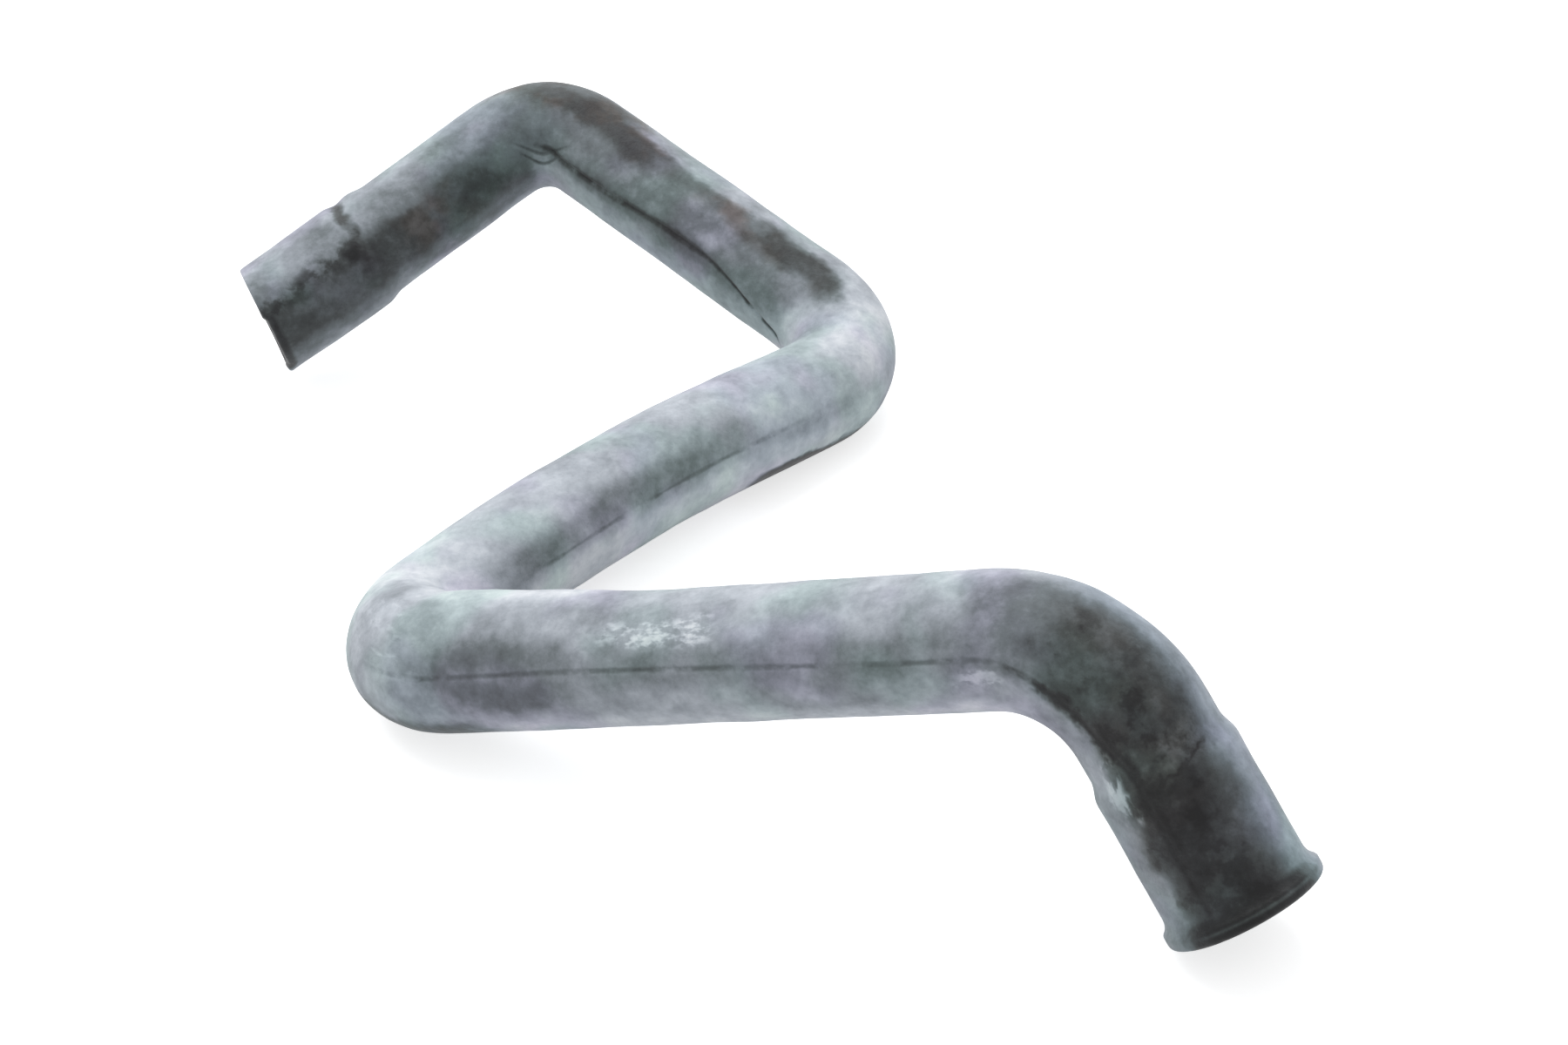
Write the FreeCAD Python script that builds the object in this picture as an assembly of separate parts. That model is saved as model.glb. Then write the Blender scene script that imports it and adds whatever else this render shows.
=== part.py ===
import FreeCAD, Part
import math
import os

from FreeCAD import Rotation, Vector

# Moulded rubber air hose for a car's air conditioning.
# One bent tube of constant bore: a plain cuff at one end, a cuff with a flared lip at the other.
# It lies as it comes to rest on a flat surface. Lengths are in millimetres, angles in degrees.

# Tube section
BORE = 25.0
WALL = 4.0

# Straight runs of the centreline, each from corner to corner, in order from the plain end.
# A heading turns from +X towards +Y, and a drop is the fall below level.
BACK_RUN = 137.0
BACK_HEADING = 324.3
BACK_DROP_ANGLE = 20.6
RIGHT_RUN = 112.0
RIGHT_HEADING = 223.6
RIGHT_DROP_ANGLE = -3.4
LEFT_RUN = 92.5
LEFT_HEADING = 228.2
LEFT_DROP_ANGLE = 4.4
FRONT_RUN = 198.5
FRONT_HEADING = 341.8
FRONT_DROP_ANGLE = -14.9

# Bend radii on the centreline
BACK_BEND = 21.5
RIGHT_BEND = 25.0
MIDDLE_BEND = 600.0
LEFT_BEND = 20.0
FRONT_BEND = 34.5

# The two legs that leave the outer corners; each ends in a cuff that adds to its run
PLAIN_LEG_HEADING = 212.3
PLAIN_LEG_DROP_ANGLE = 21.3
PLAIN_LEG_RUN = 52.0
LIP_LEG_HEADING = 314.6
LIP_LEG_DROP_ANGLE = 48.4
LIP_LEG_RUN = 5.3

# Plain cuff: the end is widened for the pipe that it is pushed on
PLAIN_CUFF_STEP = 1.2
PLAIN_CUFF_LENGTH = 33.0
PLAIN_MOUTH_ROUND = 1.0

# Lipped cuff: widened too, with a rolled lip round the mouth that flares out of the cuff
LIP_CUFF_STEP = 1.5
LIP_CUFF_LENGTH = 36.0
LIP_HEIGHT = 1.8
LIP_WIDTH = 3.0
LIP_ROUND = 1.2
LIP_FLARE = 4.0
LIP_MOUTH_ROUND = 0.8

# Length over which a cuff runs down to the tube
CUFF_TAPER = 6.0

BORE_RADIUS = BORE / 2
TUBE_RADIUS = BORE_RADIUS + WALL
AXIS = Vector(0, 0, 1)
FULL_TURN = 360.0
HALF = math.sqrt(0.5)


def heading(angle, drop):
    """Unit vector that points along a compass angle and falls by the drop."""
    level = math.cos(math.radians(drop))
    turn = math.radians(angle)
    return Vector(level * math.cos(turn), level * math.sin(turn), -math.sin(math.radians(drop)))


def unit(vector):
    """Copy of a vector with length one."""
    return vector / vector.Length


class Bend:
    """Tangent arc that replaces one corner of the centreline."""

    def __init__(self, arrive, corner, leave, radius):
        turn = arrive.getAngle(leave)
        self.setback = radius * math.tan(turn / 2)
        self.start = corner - arrive * self.setback
        self.end = corner + leave * self.setback
        self.arrive = arrive
        self.leave = leave
        self.angle = math.degrees(turn)
        self.axis = unit(arrive.cross(leave))
        self.centre = self.start + self.axis.cross(arrive) * radius
        self.length = radius * turn


def tube_face(centre, along):
    """Flat ring that is the tube's wall cut square to the centreline."""
    rims = [Part.Wire(Part.makeCircle(r, centre, along)) for r in (TUBE_RADIUS, BORE_RADIUS)]
    return Part.makeFace(rims, "Part::FaceMakerBullseye")


def run(start, end):
    """Straight stretch of tube."""
    return tube_face(start, end - start).extrude(end - start)


def elbow(bend):
    """Curved stretch of tube: the wall ring swung about the bend's centre."""
    return tube_face(bend.start, bend.arrive).revolve(bend.centre, bend.axis, bend.angle)


def point(radius, depth):
    """Point of a cuff's wall section, at a depth inside the mouth."""
    return Vector(radius, 0, depth)


def line(first, second):
    """Straight edge of a wall section."""
    return Part.LineSegment(first, second).toShape()


def corner_arc(first, second, centre, radius, outward):
    """Quarter round of a mouth's edge, bulging along the outward direction."""
    return Part.Arc(first, centre + outward * radius, second).toShape()


def turned(edges, mouth, inward):
    """Cuff turned from its wall section and set with its mouth in place."""
    section = Part.Face(Part.Wire(Part.__sortEdges__(edges)))
    cuff = section.revolve(Vector(), AXIS, FULL_TURN)
    cuff.Placement = FreeCAD.Placement(mouth, Rotation(AXIS, inward))
    return cuff


def plain_cuff(mouth, inward):
    """Widened end whose mouth is rounded on both edges."""
    outer = TUBE_RADIUS + PLAIN_CUFF_STEP
    inner = BORE_RADIUS + PLAIN_CUFF_STEP
    root = PLAIN_CUFF_LENGTH + CUFF_TAPER
    edge = PLAIN_MOUTH_ROUND
    bore_start = point(inner, edge)
    face_start = point(inner + edge, 0)
    face_end = point(outer - edge, 0)
    side_start = point(outer, edge)
    return turned([
        corner_arc(bore_start, face_start, point(inner + edge, edge), edge, Vector(-HALF, 0, -HALF)),
        line(face_start, face_end),
        corner_arc(face_end, side_start, point(outer - edge, edge), edge, Vector(HALF, 0, -HALF)),
        line(side_start, point(outer, PLAIN_CUFF_LENGTH)),
        line(point(outer, PLAIN_CUFF_LENGTH), point(TUBE_RADIUS, root)),
        line(point(TUBE_RADIUS, root), point(BORE_RADIUS, root)),
        line(point(BORE_RADIUS, root), point(inner, PLAIN_CUFF_LENGTH)),
        line(point(inner, PLAIN_CUFF_LENGTH), bore_start),
    ], mouth, inward)


def lipped_cuff(mouth, inward):
    """Widened end whose mouth is ringed by a rolled lip, flared out of the cuff by a hollow arc."""
    outer = TUBE_RADIUS + LIP_CUFF_STEP
    inner = BORE_RADIUS + LIP_CUFF_STEP
    crest = outer + LIP_HEIGHT
    root = LIP_CUFF_LENGTH + CUFF_TAPER
    flare_end = LIP_WIDTH + LIP_FLARE
    mouth_round = LIP_MOUTH_ROUND
    bore_start = point(inner, mouth_round)
    face_start = point(inner + mouth_round, 0)
    face_end = point(crest - LIP_ROUND, 0)
    crest_start = point(crest, LIP_ROUND)
    crest_end = point(crest, LIP_WIDTH)
    flare_radius = (LIP_HEIGHT ** 2 + LIP_FLARE ** 2) / (2 * LIP_HEIGHT)
    half_sweep = math.asin(LIP_FLARE / flare_radius) / 2
    flare_centre = point(outer + flare_radius, flare_end)
    flare_middle = flare_centre - point(math.cos(half_sweep), math.sin(half_sweep)) * flare_radius
    return turned([
        corner_arc(bore_start, face_start, point(inner + mouth_round, mouth_round), mouth_round,
                   Vector(-HALF, 0, -HALF)),
        line(face_start, face_end),
        corner_arc(face_end, crest_start, point(crest - LIP_ROUND, LIP_ROUND), LIP_ROUND,
                   Vector(HALF, 0, -HALF)),
        line(crest_start, crest_end),
        Part.Arc(crest_end, flare_middle, point(outer, flare_end)).toShape(),
        line(point(outer, flare_end), point(outer, LIP_CUFF_LENGTH)),
        line(point(outer, LIP_CUFF_LENGTH), point(TUBE_RADIUS, root)),
        line(point(TUBE_RADIUS, root), point(BORE_RADIUS, root)),
        line(point(BORE_RADIUS, root), point(inner, LIP_CUFF_LENGTH)),
        line(point(inner, LIP_CUFF_LENGTH), bore_start),
    ], mouth, inward)


def hose():
    """The whole hose as one solid, with the length of its centreline from mouth to mouth."""
    plain_way = heading(PLAIN_LEG_HEADING, PLAIN_LEG_DROP_ANGLE)
    lip_way = heading(LIP_LEG_HEADING, LIP_LEG_DROP_ANGLE)
    runs = [
        (BACK_RUN, heading(BACK_HEADING, BACK_DROP_ANGLE)),
        (RIGHT_RUN, heading(RIGHT_HEADING, RIGHT_DROP_ANGLE)),
        (LEFT_RUN, heading(LEFT_HEADING, LEFT_DROP_ANGLE)),
        (FRONT_RUN, heading(FRONT_HEADING, FRONT_DROP_ANGLE)),
    ]
    radii = [BACK_BEND, RIGHT_BEND, MIDDLE_BEND, LEFT_BEND, FRONT_BEND]
    corners = [Vector()]
    for distance, way in runs:
        corners.append(corners[-1] + way * distance)
    ways = [-plain_way] + [way for distance, way in runs] + [lip_way]
    bends = [Bend(*four) for four in zip(ways, corners, ways[1:], radii)]

    plain_root = bends[0].start + plain_way * PLAIN_LEG_RUN
    lip_root = bends[-1].end + lip_way * LIP_LEG_RUN
    plain_mouth = plain_root + plain_way * (PLAIN_CUFF_LENGTH + CUFF_TAPER)
    lip_mouth = lip_root + lip_way * (LIP_CUFF_LENGTH + CUFF_TAPER)

    pieces = [plain_cuff(plain_mouth, -plain_way), run(plain_root, bends[0].start)]
    length = (plain_mouth - bends[0].start).Length
    for bend, following in zip(bends, bends[1:]):
        pieces += [elbow(bend), run(bend.end, following.start)]
        length += bend.length + (following.start - bend.end).Length
    pieces += [elbow(bends[-1]), run(bends[-1].end, lip_root), lipped_cuff(lip_mouth, -lip_way)]
    length += bends[-1].length + (lip_mouth - bends[-1].end).Length

    whole = pieces[0].multiFuse(pieces[1:]).removeSplitter().Solids[0]
    box = whole.optimalBoundingBox(False)
    foot = Vector(box.Center.x, box.Center.y, box.ZMin)
    whole.translate(-foot)
    return whole, length, plain_mouth - foot, lip_mouth - foot, plain_way, lip_way


os.makedirs("parts", exist_ok=True)
solid, centreline, plain_end, lip_end, plain_out, lip_out = hose()
solid.exportStep("parts/hose.step")
section = math.pi * (TUBE_RADIUS ** 2 - BORE_RADIUS ** 2)
box = solid.optimalBoundingBox(False)
print("valid", solid.isValid(), "volume", round(solid.Volume))
print("section times length", round(section * centreline), "centreline", round(centreline, 1))
print("box", [round(side, 2) for side in (box.XLength, box.YLength, box.ZLength)])
print("plain mouth", plain_end, "pointing", plain_out)
print("lipped mouth", lip_end, "pointing", lip_out)
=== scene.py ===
# %% [markdown]
# A moulded rubber air hose from a car's air conditioning, used and dusty, on a white studio floor.
# The packed model comes first, as the fixed frame that everything else is fitted to: it gives the hose's
# place and size, and the box that the finished hose has to stay inside.

# %% The frame
import math

import bpy
from mathutils import Matrix, Vector


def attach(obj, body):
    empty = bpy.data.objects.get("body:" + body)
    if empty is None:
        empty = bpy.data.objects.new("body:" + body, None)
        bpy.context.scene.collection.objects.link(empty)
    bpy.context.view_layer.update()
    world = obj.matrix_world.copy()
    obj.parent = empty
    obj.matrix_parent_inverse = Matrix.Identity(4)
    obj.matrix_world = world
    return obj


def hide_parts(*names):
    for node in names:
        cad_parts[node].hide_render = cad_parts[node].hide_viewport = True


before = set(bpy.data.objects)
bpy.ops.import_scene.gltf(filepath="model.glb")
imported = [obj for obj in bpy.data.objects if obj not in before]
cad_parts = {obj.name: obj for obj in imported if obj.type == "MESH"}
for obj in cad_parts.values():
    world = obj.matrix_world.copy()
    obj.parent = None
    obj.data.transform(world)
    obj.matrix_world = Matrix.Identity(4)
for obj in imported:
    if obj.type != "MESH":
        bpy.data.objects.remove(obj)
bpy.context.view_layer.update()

MM = 0.001
MM_PER_METRE = 1000.0

# %% [markdown]
# Node trees get long when every node is placed by hand, so sums are written as plain Python.
# A Wire holds one socket. Adding, multiplying or comparing wires adds the Math nodes that do it, and
# 1 - mask works because the reflected forms are there too. Every other node comes from Wire.make.


# %% Sums on sockets
class Wire:
    """One socket of a node tree. Arithmetic on it adds Math nodes to its tree."""

    def __init__(self, socket):
        self.socket = socket
        self.tree = socket.id_data

    @staticmethod
    def make(tree, kind, settings=None, sockets=None):
        """Add a node: its settings go in first, then the values or links of its sockets."""
        node = tree.nodes.new(kind)
        for name, value in (settings or {}).items():
            if name == "stops":
                ramp = node.color_ramp
                while len(ramp.elements) < len(value):
                    ramp.elements.new(1.0)
                for element, (place, colour) in zip(ramp.elements, value):
                    element.position = place
                    element.color = colour
            else:
                setattr(node, name, value)
        for name, value in (sockets or {}).items():
            socket = node.inputs[name]
            if isinstance(value, Wire):
                tree.links.new(value.socket, socket)
            else:
                socket.default_value = value
        return node

    def math(self, operation, *others, first=None):
        """Math node on this socket; a first value, where there is one, goes before it."""
        values = (self,) + others if first is None else (first, self)
        node = Wire.make(self.tree, "ShaderNodeMath", {"operation": operation}, dict(enumerate(values)))
        return Wire(node.outputs[0])

    def __add__(self, other):
        return self.math("ADD", other)

    __radd__ = __add__

    def __sub__(self, other):
        return self.math("SUBTRACT", other)

    def __rsub__(self, other):
        return self.math("SUBTRACT", first=other)

    def __mul__(self, other):
        return self.math("MULTIPLY", other)

    __rmul__ = __mul__

    def __truediv__(self, other):
        return self.math("DIVIDE", other)

    def __rtruediv__(self, other):
        return self.math("DIVIDE", first=other)

    def ramp(self, low, high, start=0.0, end=1.0):
        """Soft step: start below the low value, end above the high one."""
        sockets = {"Value": self, "From Min": low, "From Max": high, "To Min": start, "To Max": end}
        node = Wire.make(self.tree, "ShaderNodeMapRange", {"interpolation_type": "SMOOTHSTEP"}, sockets)
        return Wire(node.outputs["Result"])

    def between(self, low, high, soft):
        """One from the low value to the high one, with soft ends."""
        half = (high - low) / 2
        return (self - (low + high) / 2).math("ABSOLUTE").ramp(half - soft, half + soft, 1.0, 0.0)

    def towards(self, value, mask):
        """This value, pulled to another one where the mask is."""
        return self + (value - self) * mask


print("a Wire can", ", ".join(name for name in vars(Wire) if not name.startswith("_")))

# %% [markdown]
# The hose is one rubber wall, bent five times in different planes. Its centreline is straight runs that
# meet at corners, with each corner rounded by an arc. A plain curve object with bevel could draw the tube,
# but not the widened ends, so the route is a mesh of seven points that carry their bend radii, and a node
# tree rounds it.

# %% Route of the centreline
# Corners in millimetres, from the plain mouth to the lipped mouth, each with its bend radius
plain_mouth = Vector((-134.441, 105.744, 23.590))
back_corner = Vector((-48.935, 159.798, 63.030))
right_corner = Vector((55.206, 84.965, 14.828))
middle_corner = Vector((-25.758, 7.863, 21.470))
left_corner = Vector((-87.231, -60.890, 14.373))
front_corner = Vector((94.998, -120.804, 65.414))
lipped_mouth = Vector((127.849, -154.117, 12.718))
route = [plain_mouth, back_corner, right_corner, middle_corner, left_corner, front_corner, lipped_mouth]
bend_radii = [0.0, 21.5, 25.0, 600.0, 20.0, 34.5, 0.0]


def route_length(points, radii):
    """Length along straight runs and tangent arcs."""
    total = sum((after - before).length for before, after in zip(points, points[1:]))
    for before, corner, after, radius in zip(points, points[1:], points[2:], radii[1:]):
        turn = (corner - before).angle(after - corner)
        total += radius * (turn - 2 * math.tan(turn / 2))
    return total


hose_length = route_length(route, bend_radii)
route_mesh = bpy.data.meshes.new("hose_route")
route_mesh.from_pydata([point * MM for point in route], [(k, k + 1) for k in range(len(route) - 1)], [])
bend = route_mesh.attributes.new("bend", "FLOAT", "POINT")
bend.data.foreach_set("value", [radius * MM for radius in bend_radii])
print("centreline", round(hose_length, 1), "mm from mouth to mouth")

# %% [markdown]
# The wall's section is one closed line: along the outside from the plain mouth to the lipped one, round the
# lip, and back along the bore. It is drawn flat, as distance along the hose against distance from the
# centreline, as a turner would draw it. The plain end is widened for the pipe that it is pushed on. The
# other end is widened too, and its mouth is ringed by a rolled lip that flares out of the cuff.

# %% Section of the wall
bore, wall = 12.5, 4.0
tube = bore + wall
plain_step, plain_cuff, plain_round = 1.2, 33.0, 1.0
lip_step, lip_cuff, lip_height, lip_width, lip_flare = 1.5, 36.0, 1.8, 3.0, 4.0
lip_round, lip_mouth_round = 1.2, 0.8
taper = 6.0
outer_spacing, inner_spacing, cuff_spacing = 1.3, 5.0, 0.8


def arc(centre, radius, start, end, count=6):
    """Points on an arc of the section, angles in degrees from the hose's length."""
    angles = [math.radians(start + (end - start) * k / (count - 1)) for k in range(count)]
    return [(centre[0] + radius * math.cos(a), centre[1] + radius * math.sin(a)) for a in angles]


def slope(start, end, count=8):
    """Points on the soft S from a cuff down to the tube, both ends included."""
    points = []
    for k in range(count):
        share = k / (count - 1)
        ease = share * share * (3 - 2 * share)
        points.append((start[0] + (end[0] - start[0]) * share, start[1] + (end[1] - start[1]) * ease))
    return points


def spaced(start, end, spacing):
    """Points on a straight stretch of the section, without its two ends."""
    count = max(1, round(math.dist(start, end) / spacing))
    return [tuple(a + (b - a) * k / count for a, b in zip(start, end)) for k in range(1, count)]


print("wall from", bore, "to", tube, "mm off the centreline")

# %% Section drawn out
plain_outer, plain_inner = tube + plain_step, bore + plain_step
lip_outer, lip_inner = tube + lip_step, bore + lip_step
crest = lip_outer + lip_height
flare_radius = (lip_height ** 2 + lip_flare ** 2) / (2 * lip_height)
flare_sweep = math.degrees(math.asin(lip_flare / flare_radius))
cuff_start = hose_length - lip_cuff
flare_start = hose_length - lip_width - lip_flare

outside = arc((plain_round, plain_outer - plain_round), plain_round, 180, 90)
outside += spaced(outside[-1], (plain_cuff, plain_outer), cuff_spacing)
outside += slope((plain_cuff, plain_outer), (plain_cuff + taper, tube))
outside += spaced((plain_cuff + taper, tube), (cuff_start - taper, tube), outer_spacing)
outside += slope((cuff_start - taper, tube), (cuff_start, lip_outer))
outside += spaced((cuff_start, lip_outer), (flare_start, lip_outer), outer_spacing)
outside += arc((flare_start, lip_outer + flare_radius), flare_radius, 270, 270 + flare_sweep)
outside += arc((hose_length - lip_round, crest - lip_round), lip_round, 90, 0)

inside = arc((hose_length - lip_mouth_round, lip_inner + lip_mouth_round), lip_mouth_round, 0, -90)
inside += spaced(inside[-1], (cuff_start, lip_inner), inner_spacing)
inside += slope((cuff_start, lip_inner), (cuff_start - taper, bore))
inside += spaced((cuff_start - taper, bore), (plain_cuff + taper, bore), inner_spacing)
inside += slope((plain_cuff + taper, bore), (plain_cuff, plain_inner))
inside += spaced((plain_cuff, plain_inner), (plain_round, plain_inner), cuff_spacing)
inside += arc((plain_round, plain_inner + plain_round), plain_round, 270, 180)

section = outside + inside
section_mesh = bpy.data.meshes.new("wall_section")
section_mesh.from_pydata([(along * MM, radius * MM, 0.0) for along, radius in section],
                         [(k, (k + 1) % len(section)) for k in range(len(section))], [])
for name, values in (("along", [along * MM for along, radius in section]),
                     ("reach", [radius * MM for along, radius in section]),
                     ("skin", [1.0] * len(outside) + [0.0] * len(inside))):
    section_mesh.attributes.new(name, "FLOAT", "POINT").data.foreach_set("value", values)
section_line = bpy.data.objects.new("wall_section", section_mesh)
bpy.context.scene.collection.objects.link(section_line)
print("section", len(outside), "points outside,", len(inside), "inside")

# %% [markdown]
# The node tree works as a factory would: it turns the section into a straight hose, then bends that along
# the route. Fillet Curve rounds the corners with the radii that the points carry. Sample Curve gives the
# centreline's place and direction at each distance along, and every point of the wall is set out from
# there, so the wall keeps its thickness through the bends. Angles round the hose count from its right-hand
# side, seen in the direction from the plain mouth, and 90 degrees is up.

# %% Tree that turns and bends the hose
tree = bpy.data.node_groups.new("bend_hose", "GeometryNodeTree")
tree.is_modifier = True
tree.interface.new_socket("Geometry", in_out="OUTPUT", socket_type="NodeSocketGeometry")
tree.interface.new_socket("Geometry", in_out="INPUT", socket_type="NodeSocketGeometry")
inputs = {}
for name, kind in (("Section", "Object"), ("Points round", "Int"), ("Points per bend", "Int"),
                   ("Spacing", "Float"), ("Groove depth", "Float"), ("Groove width", "Float"),
                   ("Dent depth", "Float"), ("Ridge height", "Float"), ("Crease depth", "Float"),
                   ("Rim askew", "Float"), ("Rim wear", "Float"), ("Elbow swell", "Float"),
                   ("Unevenness", "Float"), ("Seed", "Float"), ("Rubber", "Material")):
    inputs[name] = tree.interface.new_socket(name, in_out="INPUT", socket_type="NodeSocket" + kind)
given = {item.name: Wire(item) for item in Wire.make(tree, "NodeGroupInput").outputs if item.name}


def add(kind, settings=None, sockets=None, output=0):
    """One node of the hose's tree, as the wire of one of its outputs."""
    return Wire(Wire.make(tree, kind, settings, sockets).outputs[output])


def stored(name):
    """A value that the mesh carries under a name."""
    return add("GeometryNodeInputNamedAttribute", {"data_type": "FLOAT"}, {"Name": name}, "Attribute")


def scaled(vector, factor):
    """A vector times a number."""
    return add("ShaderNodeVectorMath", {"operation": "SCALE"}, {0: vector, "Scale": factor}, "Vector")


def joined(first, second):
    """The sum of two vectors."""
    return add("ShaderNodeVectorMath", {"operation": "ADD"}, {0: first, 1: second}, "Vector")


print("inputs", list(inputs))

# %% Centreline and straight hose
# Centreline: rounded corners, then points close enough for true directions
line = add("GeometryNodeMeshToCurve", None, {"Mesh": given["Geometry"]})
rounded = add("GeometryNodeFilletCurve", {"mode": "POLY"},
              {"Curve": line, "Count": given["Points per bend"], "Radius": stored("bend")})
even = add("GeometryNodeResampleCurve", {"mode": "LENGTH"}, {"Curve": rounded, "Length": given["Spacing"]})
centreline = add("GeometryNodeSetCurveNormal", {"mode": "Z_UP"}, {"Curve": even})

# Straight hose: the section turned round a circle whose points crowd at the two mould grooves
ring = add("GeometryNodeCurvePrimitiveCircle", {"mode": "RADIUS"}, {"Resolution": given["Points round"]})
share = add("GeometryNodeInputIndex") / given["Points round"]
crowding = 0.7
from_groove = share * (2 * math.pi) - (share * (4 * math.pi)).math("SINE") * (crowding / 2)
ring = add("GeometryNodeStoreNamedAttribute", {"data_type": "FLOAT", "domain": "POINT"},
           {"Geometry": ring, "Name": "from_groove", "Value": from_groove})
info = Wire.make(tree, "GeometryNodeObjectInfo", {"transform_space": "ORIGINAL"},
                 {"Object": given["Section"]})
wall_line = add("GeometryNodeMeshToCurve", None, {"Mesh": Wire(info.outputs["Geometry"])})
turned = add("GeometryNodeCurveToMesh", None, {"Curve": ring, "Profile Curve": wall_line})
print("tree so far", len(tree.nodes), "nodes")

# %% [markdown]
# The mould's halves met along two lines, which wander: near the top of the plain leg, level on the back
# run, below level on the middle run, and back up after the left elbow. The angle of that line is a function
# of the distance along, made of soft steps, and so is the depth of the fine groove that it left.

# %% Angle round the hose, and the mould groove
along, reach, skin = stored("along"), stored("reach"), stored("skin")
# Angle of the groove in degrees: where it starts, and its soft steps on the way to the lipped mouth
lie_degrees = (40 - along.ramp(0.030, 0.046) * 12 - along.ramp(0.088, 0.108) * 16
               + along.ramp(0.130, 0.172) * 8 - along.ramp(0.176, 0.222) * 38
               + along.ramp(0.385, 0.432) * 45 - along.ramp(0.470, 0.575) * 7
               - along.ramp(0.580, 0.603) * 12 + along.ramp(0.612, 0.632) * 18)
angle = stored("from_groove") + lie_degrees * math.radians(1)
side, up = angle.math("COSINE"), angle.math("SINE")


def facing(degrees):
    """How far a point faces an angle round the hose: 1 at it, -1 opposite."""
    turn = math.radians(degrees)
    return side * math.cos(turn) + up * math.sin(turn)


to_groove = stored("from_groove").math("SINE").math("ABSOLUTE") * (tube * MM)
groove_share = (along.between(0.104, 0.214, 0.004) + along.between(0.250, 0.392, 0.012) * 0.35
                + along.between(0.425, 0.588, 0.006) * 0.35 + along.between(0.588, 0.700, 0.006) * 0.2)
groove = to_groove.ramp(0.0, given["Groove width"], 1.0, 0.0) * groove_share * given["Groove depth"]
print("tree with the groove", len(tree.nodes), "nodes")

# %% [markdown]
# Small faults of the used hose are shapes too, so they are made here and not only painted: the mark of a
# clamp at the root of the plain cuff, with the rubber pushed up beside it, two creases inside the back bend,
# a plain mouth that is cut a little askew and worn at its front, the left elbow, whose tight bend is fuller
# on top than the tube, and a slight unevenness of the wall.

# %% Faults, and the bending
dent = along.between(0.0335, 0.0375, 0.002) * facing(66).ramp(0.55, 0.95) * given["Dent depth"]
ridge = along.between(0.0395, 0.0450, 0.003) * facing(112).ramp(0.80, 0.98) * given["Ridge height"]
# Creases: middle of the bend and half its length in millimetres, then their rise and their places in degrees
crease_middle, crease_half, crease_rise = 107.0, 15.0, 26.0
crease_places = (-7, 5)
bow = (along * MM_PER_METRE - crease_middle) / crease_half
crease_turn = angle - bow * bow * math.radians(crease_rise)
low_crease, high_crease = ((crease_turn - math.radians(degrees)).math("SINE").math("ABSOLUTE")
                           .ramp(0.02, 0.07, 1.0, 0.0) for degrees in crease_places)
creased = ((low_crease + high_crease) * facing(4).ramp(0.80, 0.90) * along.between(0.094, 0.120, 0.003)
           * given["Crease depth"])

near_mouth = along.ramp(0.0005, 0.016, 1.0, 0.0)
worn_front = facing(0).ramp(0.76, 0.84)
shift = near_mouth * (worn_front * given["Rim wear"] - (facing(-32) + 0.35) * given["Rim askew"])
pinch = near_mouth * facing(-56).ramp(-0.2, 0.9) * given["Rim wear"]
swell = (along.ramp(0.398, 0.424) * along.ramp(0.432, 0.505, 1.0, 0.0) * facing(120).ramp(-0.1, 0.95)
         * given["Elbow swell"])

sample = Wire.make(tree, "GeometryNodeSampleCurve", {"mode": "FACTOR", "use_all_curves": False},
                   {"Curves": centreline, "Factor": along / (hose_length * MM)})
place, way, right = (Wire(sample.outputs[name]) for name in ("Position", "Tangent", "Normal"))
upright = add("ShaderNodeVectorMath", {"operation": "CROSS_PRODUCT"}, {0: right, 1: way}, "Vector")
outward = joined(scaled(right, side), scaled(upright, up))
lumps = add("ShaderNodeTexNoise", {"noise_dimensions": "4D"},
            {"Vector": joined(place, scaled(outward, 0.02)), "W": given["Seed"],
             "Scale": 38.0, "Detail": 2.0})
sunk = (groove + dent + creased + pinch - ridge - swell + lumps.ramp(0.3, 0.75) * given["Unevenness"]) * skin
spot = joined(place, scaled(outward, reach - sunk))
bent = add("GeometryNodeSetPosition", None,
           {"Geometry": turned, "Position": joined(spot, scaled(way, shift))})
print("tree with faults", len(tree.nodes), "nodes")

# %% [markdown]
# The finish needs to know where on the hose it is, so each point keeps three more values: the cosine and
# sine of its angle round the hose, and its distance to a groove. They don't jump anywhere, as the angle
# itself would. Realize Instances and Set Material end the tree, and the result becomes a plain mesh.

# %% The hose as a plain mesh
for name, value in (("side", side), ("up", up), ("to_groove", to_groove)):
    bent = add("GeometryNodeStoreNamedAttribute", {"data_type": "FLOAT", "domain": "POINT"},
               {"Geometry": bent, "Name": name, "Value": value})
smooth = add("GeometryNodeSetShadeSmooth", None, {"Geometry": bent, "Shade Smooth": True})
whole = add("GeometryNodeRealizeInstances", None, {"Geometry": smooth})
dressed = add("GeometryNodeSetMaterial", None, {"Geometry": whole, "Material": given["Rubber"]})
Wire.make(tree, "NodeGroupOutput", None, {"Geometry": dressed})

rubber = bpy.data.materials.new("dusty_rubber")
rubber.use_nodes = True
hose = bpy.data.objects.new("hose_skin", route_mesh)
bpy.context.scene.collection.objects.link(hose)
bending = hose.modifiers.new("bend_hose", "NODES")
bending.node_group = tree
for name, value in (("Section", section_line), ("Points round", 112), ("Points per bend", 32),
                    ("Spacing", 0.0012), ("Groove depth", 0.00045), ("Groove width", 0.0011),
                    ("Dent depth", 0.0009), ("Ridge height", 0.0007), ("Crease depth", 0.00035),
                    ("Rim askew", 0.0034), ("Rim wear", 0.0009), ("Elbow swell", 0.0034),
                    ("Unevenness", 0.00045), ("Seed", 4.0), ("Rubber", rubber)):
    bending[inputs[name].identifier] = value

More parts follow.
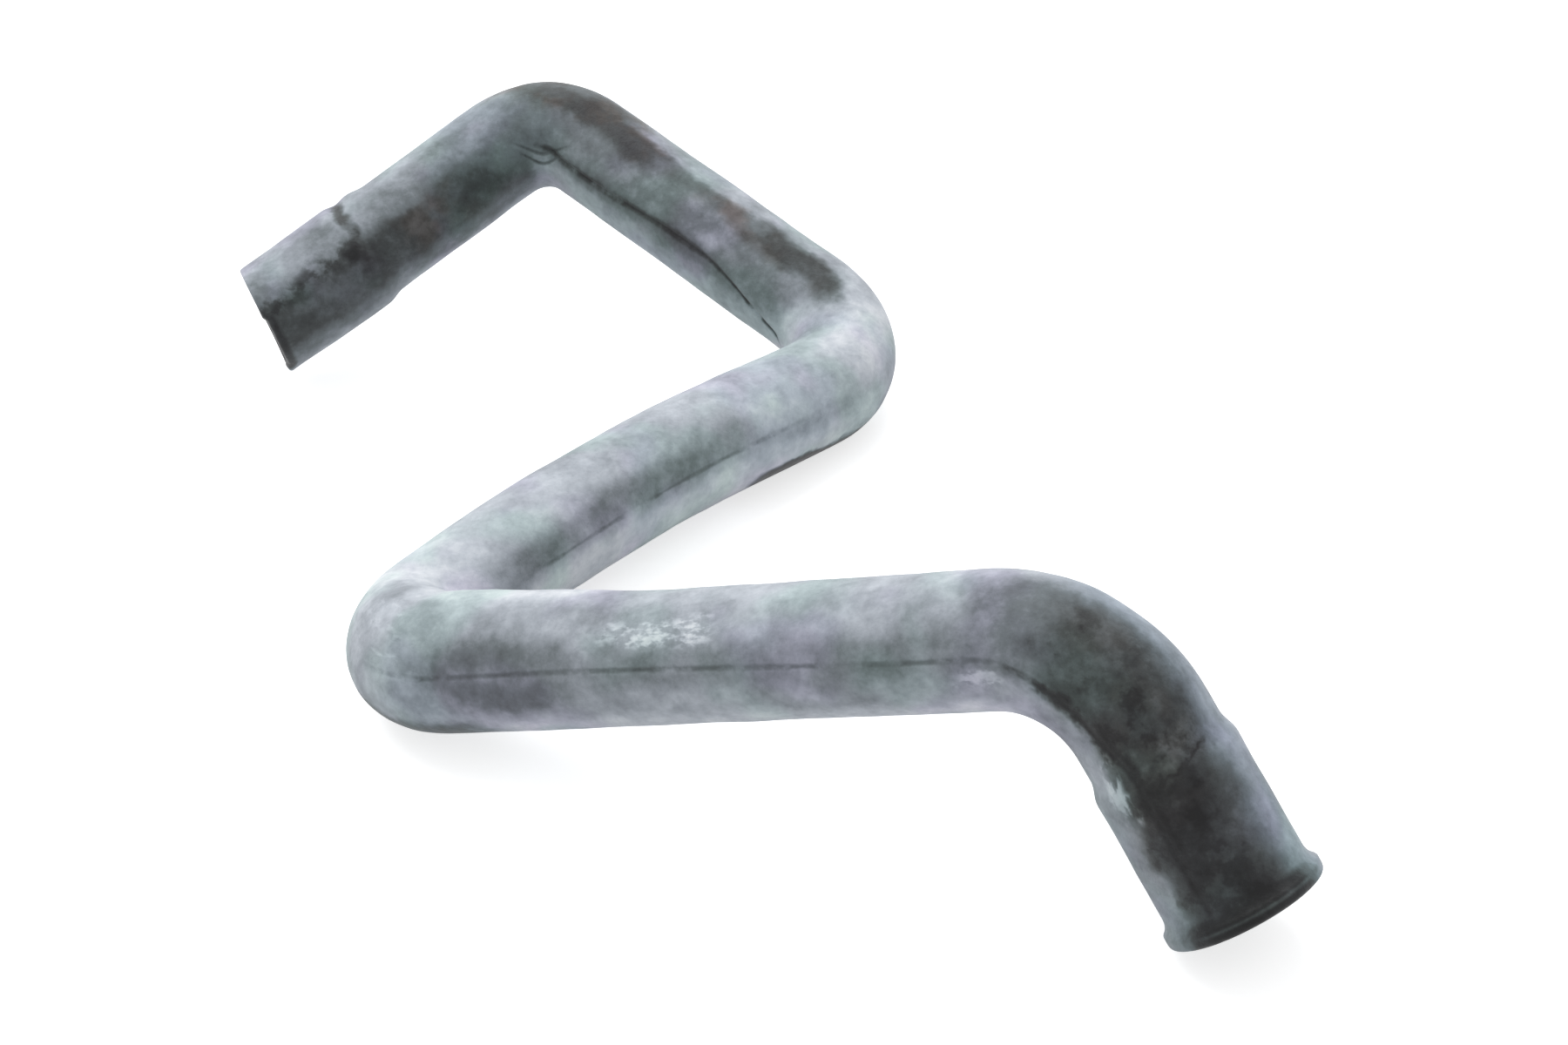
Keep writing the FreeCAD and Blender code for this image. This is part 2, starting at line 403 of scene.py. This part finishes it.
evaluated = hose.evaluated_get(bpy.context.evaluated_depsgraph_get())
plain_mesh = bpy.data.meshes.new_from_object(evaluated)
hose.modifiers.remove(bending)
hose.data = plain_mesh
plain_mesh.name = "hose_skin"
bpy.data.objects.remove(section_line)
print("hose", len(plain_mesh.vertices), "points", len(plain_mesh.polygons), "faces")

# %% Riding on the frame
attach(hose, "root")
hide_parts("hose")
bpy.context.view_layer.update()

# %% [markdown]
# The rubber is dark grey under a coat of pale dust. Dust lies thickest on top and is rubbed or washed off
# elsewhere, so the finish is one number, how pale the surface is, which then picks the colour and the
# roughness. The same number also carries painted shadows where the hose stands on the floor and under its
# lip, and painted highlights on the front run's crest and the lip's crest. A patch could be painted as an
# image, but a stretch along the hose and an arc round it say the same in a few numbers, and noise breaks up
# its edges.

# %% Finish: where on the hose
nodes = rubber.node_tree
nodes.nodes.clear()


def paint(kind, settings=None, sockets=None, output=0):
    """One node of the rubber's tree, as the wire of one of its outputs."""
    return Wire(Wire.make(nodes, kind, settings, sockets).outputs[output])


def carried(name):
    """A value that the hose's points carry."""
    return paint("ShaderNodeAttribute", {"attribute_name": name}, None, "Fac")


spot_on_hose = paint("ShaderNodeTexCoord", None, None, "Object")


def noise(scale, detail, roughness=0.55, shift=0.0, on=spot_on_hose):
    """Noise about zero on the hose's own coordinates; scale is in patches per metre."""
    where = paint("ShaderNodeMapping", None, {"Vector": on, "Location": (shift, shift, shift)})
    sockets = {"Vector": where, "Scale": scale, "Detail": detail, "Roughness": roughness}
    return paint("ShaderNodeTexNoise", None, sockets) - 0.5


length = carried("along") * MM_PER_METRE
upness, outer = carried("up"), carried("skin")
# Angle round the hose in degrees, with its jump straight below, where no patch ends
turn = (carried("side") * -1.0).math("ARCTAN2", upness) * (180 / math.pi) + 90.0
wobble = noise(46.0, 4.0, 0.66)
frayed_length, frayed_turn = length + wobble * 30.0, turn + wobble * 34.0


def patch(start, end, fade, low, high, edge):
    """Mask on the hose: a stretch in millimetres along it, and an arc in degrees round it."""
    return frayed_length.between(start, end, fade) * frayed_turn.between(low, high, edge)


print("the finish reads", [node.attribute_name for node in nodes.nodes if node.type == "ATTRIBUTE"])

# %% [markdown]
# The broad patches are laid over each other from the plain mouth to the lipped one, as a painter would block
# them in. Each has a stretch and its fade in millimetres, an arc and its soft edge in degrees, and how pale
# it is, from 0 for black to 1 for white.

# %% Finish: dust and wear in broad patches, with painted shadows and a painted highlight
beyond_start, beyond_end = -60, 760
broad = {
    "plain leg, dusty top": (beyond_start, 98, 10, 42, 92, 10, 0.54),
    "plain leg, dusty crest": (beyond_start, 98, 12, 90, 150, 10, 0.63),
    "plain leg, underside": (beyond_start, 100, 12, -80, -28, 8, 0.66),
    "plain leg, half washed": (beyond_start, 98, 10, -34, 52, 14, 0.43),
    "plain leg, washed front": (beyond_start, 90, 12, -9, 42, 9, 0.29),
    "back bend, rubbed": (84, 116, 9, 12, 60, 14, 0.41),
    "back run, thin dust": (108, 216, 8, 2, 66, 12, 0.46),
    "back bend, stained top": (97, 132, 9, 60, 122, 12, 0.34),
    "back run, first stain": (106, 153, 9, 60, 89, 8, 0.24),
    "back run, weak stain": (150, 186, 9, 65, 85, 8, 0.36),
    "back run, second stain": (186, 221, 6, 60, 96, 9, 0.25),
    "back run, pale oval": (173, 182, 4, 18, 42, 9, 0.57),
    "back run, underside": (112, 226, 10, -80, -16, 10, 0.66),
    "right elbow, thick dust": (216, 300, 10, 92, 160, 18, 0.74),
    "right elbow, inside": (212, 240, 8, -30, 40, 12, 0.68),
    "middle run, dusty top": (254, 402, 14, 40, 128, 14, 0.68),
    "middle run, damp band": (296, 400, 16, 136, 163, 8, 0.52),
    "middle run, underside": (250, 404, 12, 172, 236, 12, 0.78),
    "left elbow, dusty": (396, 440, 12, -30, 130, 16, 0.65),
    "left elbow, pale shoulder": (386, 412, 8, 34, 156, 14, 0.80),
    # Painted shadow: darker underneath the left elbow, where it touches the floor
    "left elbow, underside": (404, 450, 9, -88, -22, 10, 0.36),
    "front run, dusty crest": (440, 590, 12, 84, 150, 12, 0.67),
    # Dust on the front run's crest, with a painted highlight along its top edge
    "front run, pale crest": (424, 476, 10, 98, 150, 10, 0.80),
    "front run, underside": (452, 604, 10, -80, -22, 10, 0.76),
    "front run, along the groove": (436, 592, 8, 8, 44, 12, 0.50),
    "front run, lower blot": (443, 472, 10, -8, 19, 10, 0.35),
    "front run, upper blot": (443, 482, 10, 28, 54, 11, 0.43),
    "front bend, dull": (583, beyond_end, 8, 6, 100, 14, 0.42),
    "lipped leg, bare": (599, beyond_end, 10, 4, 86, 14, 0.25),
    "lipped leg, before the cuff": (622, 630, 3, 50, 98, 14, 0.34),
    "lipped leg, cuff's edge": (630.5, 632, 0.8, 38, 90, 8, 0.17),
    "lipped leg, darkest": (634, beyond_end, 9, 24, 66, 12, 0.16),
    "lipped leg, underside": (596, beyond_end, 8, -60, 1, 8, 0.57),
    # Painted shadow: the two patches below darken the right elbow's underside where it stands on the floor
    "right elbow, where it stands": (238, 292, 7, 216, 262, 7, 0.16),
    "right elbow, darkest foot": (258, 290, 6, 206, 262, 5, 0.12),
    "plain leg, far side": (8, 74, 9, 176, 238, 14, 0.40),
    "back run, far side": (118, 204, 12, 150, 226, 16, 0.50),
    "middle run, far side": (270, 380, 14, -50, 14, 16, 0.48),
    "front run, far side": (452, 560, 14, 158, 232, 16, 0.45),
    "lipped leg, far side": (606, beyond_end, 10, 186, 250, 16, 0.34),
}
masks = {name: patch(*place) for name, (*place, level) in broad.items()}
even_dust = 0.61
first, *later = broad
pale = masks[first] * (broad[first][-1] - even_dust) + even_dust
for name in later:
    pale = pale.towards(broad[name][-1], masks[name])
print("broad patches", len(broad))

# %% [markdown]
# Small marks come next: spots of black dirt, dirt in the mould groove, dirt and painted shadow at the root of
# the plain cuff, darker creases inside the back bend, scuffs on the front run, the worn plain mouth, and at
# the lipped mouth dark rubber with painted shade under the lip and a worn, painted highlight on its crest.
# Each is a small or thin mask that darkens or pales what is there.

# %% Finish: spots of black dirt
# Each spot: middle in millimetres along and degrees round, then half its length and half its arc
dirt_spots = [(605, 9, 2.5, 7), (627, 26, 4.5, 6), (642, 29, 4.5, 6), (645, 54, 3, 6), (663, 67, 3, 8),
              (31, 36, 3, 10)]
spot_core, spot_edge, spot_strength = 0.3, 1.4, 0.7


def spot_side(value, middle, half):
    """One side of a spot: full in its core, and gone a little beyond its half width."""
    return (value - middle).math("ABSOLUTE").ramp(spot_core * half, spot_edge * half, 1.0, 0.0)


spot_length, spot_turn = length + wobble * 14.0, turn + wobble * 24.0
for middle, degrees, half_length, half_arc in dirt_spots:
    dirt = spot_side(spot_length, middle, half_length) * spot_side(spot_turn, degrees, half_arc)
    pale = pale - pale * dirt * spot_strength
print("spots of dirt", len(dirt_spots))

# %% Finish: dirt, darker creases, and painted shade and highlight at the cuff and rims
groove_mm = carried("to_groove") * MM_PER_METRE
patchy = noise(80.0, 4.0, 0.62, 0.9)
groove_strength = (length.between(104, 190, 8) * 0.75 + length.between(190, 214, 5)
                   + length.between(280, 392, 14) * 0.30 + length.between(430, 588, 8) * 0.40
                   + length.between(588, 700, 5))
groove_reach = length.between(104, 180, 8) * 0.9 + length.between(594, 700, 6) * 0.4 + 1.1
groove_dirt = (((groove_mm + patchy * 2.0) / groove_reach).ramp(0.15, 1.0, 1.0, 0.0) * groove_strength
               * patchy.ramp(-0.12, 0.06, 0.05, 1.0))
groove_shade = (groove_mm + wobble * 3.0).ramp(0.6, 4.6, 1.0, 0.0) * length.between(116, 186, 10)
# Dirt and painted shadow in a ring under the step at the root of the plain cuff
cuff_ring = (length - (turn - 70.0) * 0.055 + wobble * 12.0).between(33.6, 37.0, 1.4)
cuff_dirt_and_shade = cuff_ring * frayed_turn.between(12, 118, 10) * patchy.ramp(-0.12, 0.02, 0.45, 1.0)
blot = noise(125.0, 4.0, 0.62, 0.45)
fringe = patch(beyond_start, 36, 5, 34, 50, 9) * blot.ramp(-0.06, 0.09)
lip_blots = masks["lipped leg, bare"] * blot.ramp(0.0, 0.17)
lip_rubs = masks["lipped leg, bare"] * blot.ramp(0.0, -0.19)
groove_blots = groove_mm.ramp(0.6, 3.2, 1.0, 0.0) * length.between(592, 656, 6) * patchy.ramp(0.02, 0.13)
bend_bow = (length - crease_middle) / crease_half
crease = turn - bend_bow * bend_bow * crease_rise + wobble * 8.0
# Darker along the two creases inside the back bend
darker_low_crease, darker_high_crease = (crease.between(degrees - 2, degrees + 2, 2.0) for degrees in crease_places)
creases = (darker_low_crease + darker_high_crease) * length.between(93, 121, 3)
rim_dirt = length.between(-9, 2.2, 0.8) * frayed_turn.between(-38, 40, 6)
# Dark rubber and painted shade on the flare and under the lip of the lipped mouth
lip_dark_rubber_and_shade = length.between(hose_length - 5.4, hose_length + 9, 1.0) * frayed_turn.between(4, 104, 14)
# A worn light line and a painted highlight along the lip's crest
lip_wear_and_highlight = length.between(hose_length - 2.9, hose_length - 2.0, 0.4) * frayed_turn.between(14, 110, 12)
# Each mark: its mask, how pale it is, and how far it covers what is below
marks = [(groove_shade, 0.30, 0.5), (groove_dirt, 0.12, 0.9), (cuff_dirt_and_shade, 0.20, 0.9), (fringe, 0.16, 0.85),
         (lip_blots, 0.10, 0.7), (lip_rubs, 0.36, 0.45), (groove_blots, 0.07, 0.9), (creases, 0.24, 0.6),
         (rim_dirt, 0.16, 0.9), (lip_dark_rubber_and_shade, 0.13, 0.85), (lip_wear_and_highlight, 0.36, 0.7)]
for mask, level, strength in marks:
    pale = pale.towards(level, mask * strength)
print("marks", len(marks))

# %% Finish: scuffs and mottling
unrolled = paint("ShaderNodeCombineXYZ", None, {0: length * 0.0006, 1: turn * 0.0003, 2: 0.0})
streaks = noise(300.0, 3.0, 0.6, 0.2, unrolled)
scuffs = patch(486, 516, 4, 44, 66, 5) * streaks.ramp(-0.05, 0.10) * 0.85
elbow_streaks = patch(415, 437, 5, 30, 84, 10) * streaks.ramp(0.02, 0.16) * 0.6
flecks = (patch(578, 589, 3, -2, 12, 4) + patch(621, 634, 3, -6, 12, 4)) * streaks.ramp(-0.08, 0.08) * 0.7
pale = pale.towards(0.82, scuffs).towards(0.76, elbow_streaks).towards(0.78, flecks)

mottle = noise(86.0, 5.0, 0.62, 0.3)
cloud = noise(22.0, 2.0, 0.5, 0.7)
speckle = noise(420.0, 3.0, 0.65)
pale = pale.towards(0.15, 1.0 - outer) + mottle * 0.46 + cloud * 0.14 + speckle * 0.15
print("marks and mottling", len(nodes.nodes), "nodes so far")

# %% [markdown]
# The paleness becomes a colour through one ramp, from bare rubber to thick dust. The stain is a little
# brown, and weak green and violet clouds keep the grey from looking painted: these multiply the colour, so
# that they tint it and leave it as pale as it was. Dust scatters light at the edges of a form, which
# Principled's sheen does, and it dulls the rubber's own gloss.

# %% Finish: colour, gloss and grain


def tone(red, green, blue):
    """Colour from screen values of 0 to 255, as the shader wants it."""
    parts = [value / 255 for value in (red, green, blue)]
    linear = [value / 12.92 if value <= 0.04045 else ((value + 0.055) / 1.055) ** 2.4 for value in parts]
    return linear + [1.0]


def tinted(colour, factor, tint):
    """A colour multiplied by a tint, as far as the factor says."""
    return paint("ShaderNodeMix", {"data_type": "RGBA", "blend_type": "MULTIPLY"},
                 {0: factor, 6: colour, 7: (*tint, 1.0)}, 2)


dust_colours = [
    (0.08, tone(16, 16, 18)), (0.18, tone(38, 39, 41)), (0.28, tone(64, 68, 69)), (0.45, tone(108, 115, 119)),
    (0.60, tone(151, 157, 165)), (0.72, tone(182, 188, 196)), (0.92, tone(230, 233, 237))]
coat = paint("ShaderNodeValToRGB", {"stops": dust_colours}, {"Fac": pale}, "Color")
warm_cloud = noise(56.0, 3.0, 0.6, 0.1)
stained = (masks["back run, first stain"] + masks["back run, weak stain"] + masks["back bend, stained top"]
           + masks["back run, second stain"] * 0.6 + masks["lipped leg, bare"] * 0.4
           + masks["plain leg, washed front"] * length.between(45, 68, 8) * 0.8)
coat = tinted(coat, stained * warm_cloud.ramp(-0.04, 0.12), (1.0, 0.80, 0.72))
cool_cloud = noise(34.0, 2.0, 0.5, 0.4)
greenish = (masks["plain leg, washed front"] * 0.4 + 0.48) * cool_cloud.ramp(-0.04, 0.12)
coat = tinted(coat, greenish, (0.80, 1.0, 0.88))
violet_cloud = noise(38.0, 2.0, 0.5, 0.6)
violet = violet_cloud.ramp(-0.02, 0.14) * 0.6 + masks["back bend, rubbed"] * 0.4
coat = tinted(coat, violet, (0.95, 0.87, 1.0))
coat = tinted(coat, patch(594, beyond_end, 8, 84, 132, 12) * 0.8, (0.86, 0.94, 1.0))
print("rubber colours", len(nodes.nodes), "nodes so far")

# %% Finish: the rubber
grain = paint("ShaderNodeBump", None, {"Strength": 0.4, "Distance": 0.0006, "Height": speckle}, "Normal")
shader = paint("ShaderNodeBsdfPrincipled", None,
               {"Base Color": coat, "Roughness": pale.ramp(0.15, 0.6, 0.50, 0.88), "Normal": grain,
                "Specular IOR Level": 0.22, "Sheen Weight": 0.2, "Sheen Roughness": 0.5})
Wire.make(nodes, "ShaderNodeOutputMaterial", None, {"Surface": shader})
print("rubber finish", len(nodes.nodes), "nodes")

# %% [markdown]
# The stage is a plain white floor. What the camera sees of it is lifted to white, so that only the dark
# close to where the hose touches it stays, but the light that it sends back to the hose is that of plain
# pale paper. Glossy and transmission rays see the same white, as reflections should.

# %% Floor


def seen(tree):
    """One for rays that show the white backdrop: those of the camera, of gloss and through glass."""
    rays = Wire.make(tree, "ShaderNodeLightPath").outputs
    camera_ray, glossy, through = (Wire(rays[name]) for name in
                                   ("Is Camera Ray", "Is Glossy Ray", "Is Transmission Ray"))
    return camera_ray.math("MAXIMUM", glossy).math("MAXIMUM", through)


def shade(tree, kind, sockets):
    """One shader node, as a wire."""
    return Wire(Wire.make(tree, kind, None, sockets).outputs[0])


floor_finish = bpy.data.materials.new("studio_floor")
floor_finish.use_nodes = True
paper = floor_finish.node_tree
paper.nodes.clear()
plain_paper = shade(paper, "ShaderNodeBsdfDiffuse", {"Color": (0.72, 0.73, 0.74, 1.0)})
glow = shade(paper, "ShaderNodeEmission", {"Strength": 0.66})
lifted = shade(paper, "ShaderNodeAddShader", {0: plain_paper, 1: glow})
shown = shade(paper, "ShaderNodeMixShader", {0: seen(paper), 1: plain_paper, 2: lifted})
Wire.make(paper, "ShaderNodeOutputMaterial", None, {"Surface": shown})

floor_half = 6.0
corners = [(-floor_half, -floor_half, 0), (floor_half, -floor_half, 0),
           (floor_half, floor_half, 0), (-floor_half, floor_half, 0)]
floor_mesh = bpy.data.meshes.new("studio_floor")
floor_mesh.from_pydata(corners, [], [(0, 1, 2, 3)])
floor_mesh.materials.append(floor_finish)
floor = bpy.data.objects.new("studio_floor", floor_mesh)
bpy.context.scene.collection.objects.link(floor)
print("floor", 2 * floor_half, "m wide")

# %% World
world = bpy.data.worlds.new("studio_room")
bpy.context.scene.world = world
world.use_nodes = True
room = world.node_tree
room.nodes.clear()
room_light = shade(room, "ShaderNodeBackground", {"Color": (1.0, 1.0, 1.0, 1.0), "Strength": 0.72})
backdrop = shade(room, "ShaderNodeBackground", {"Color": (1.0, 1.0, 1.0, 1.0), "Strength": 1.0})
around = shade(room, "ShaderNodeMixShader", {0: seen(room), 1: room_light, 2: backdrop})
Wire.make(room, "ShaderNodeOutputWorld", None, {"Surface": around})
print("world", world.name)

# %% [markdown]
# One large soft lamp above and behind gives the pale upper edges, and the white room fills the rest.
# The camera stands where the photographer did: nearly in front, looking down, and a little rolled.

# %% Lamp and camera
lamp_data = bpy.data.lights.new("soft_box", "AREA")
lamp_data.shape = "RECTANGLE"
lamp_data.size, lamp_data.size_y = 1.6, 1.2
lamp_data.energy = 17.0
lamp = bpy.data.objects.new("soft_box", lamp_data)
bpy.context.scene.collection.objects.link(lamp)
lamp_place = Vector((-0.35, 0.55, 1.35))
lamp.matrix_world = Matrix.Translation(lamp_place) @ lamp_place.to_track_quat("Z", "Y").to_matrix().to_4x4()

photo_width, focal_pixels, sensor = 1800, 2909.3, 36.0
eye = Vector((39.69, -571.64, 411.47)) * MM
heading, depression, roll = 1.559, 34.738, -2.727
camera_data = bpy.data.cameras.new("photo_camera")
camera_data.sensor_fit = "HORIZONTAL"
camera_data.sensor_width = sensor
camera_data.lens = focal_pixels / photo_width * sensor
camera = bpy.data.objects.new("photo_camera", camera_data)
bpy.context.scene.collection.objects.link(camera)
camera.matrix_world = (Matrix.Translation(eye) @ Matrix.Rotation(math.radians(heading), 4, "Z")
                       @ Matrix.Rotation(math.radians(90 - depression), 4, "X")
                       @ Matrix.Rotation(math.radians(roll), 4, "Z"))
bpy.context.scene.camera = camera
bpy.context.scene.view_settings.view_transform = "Standard"
print("camera lens", round(camera_data.lens, 2), "mm")
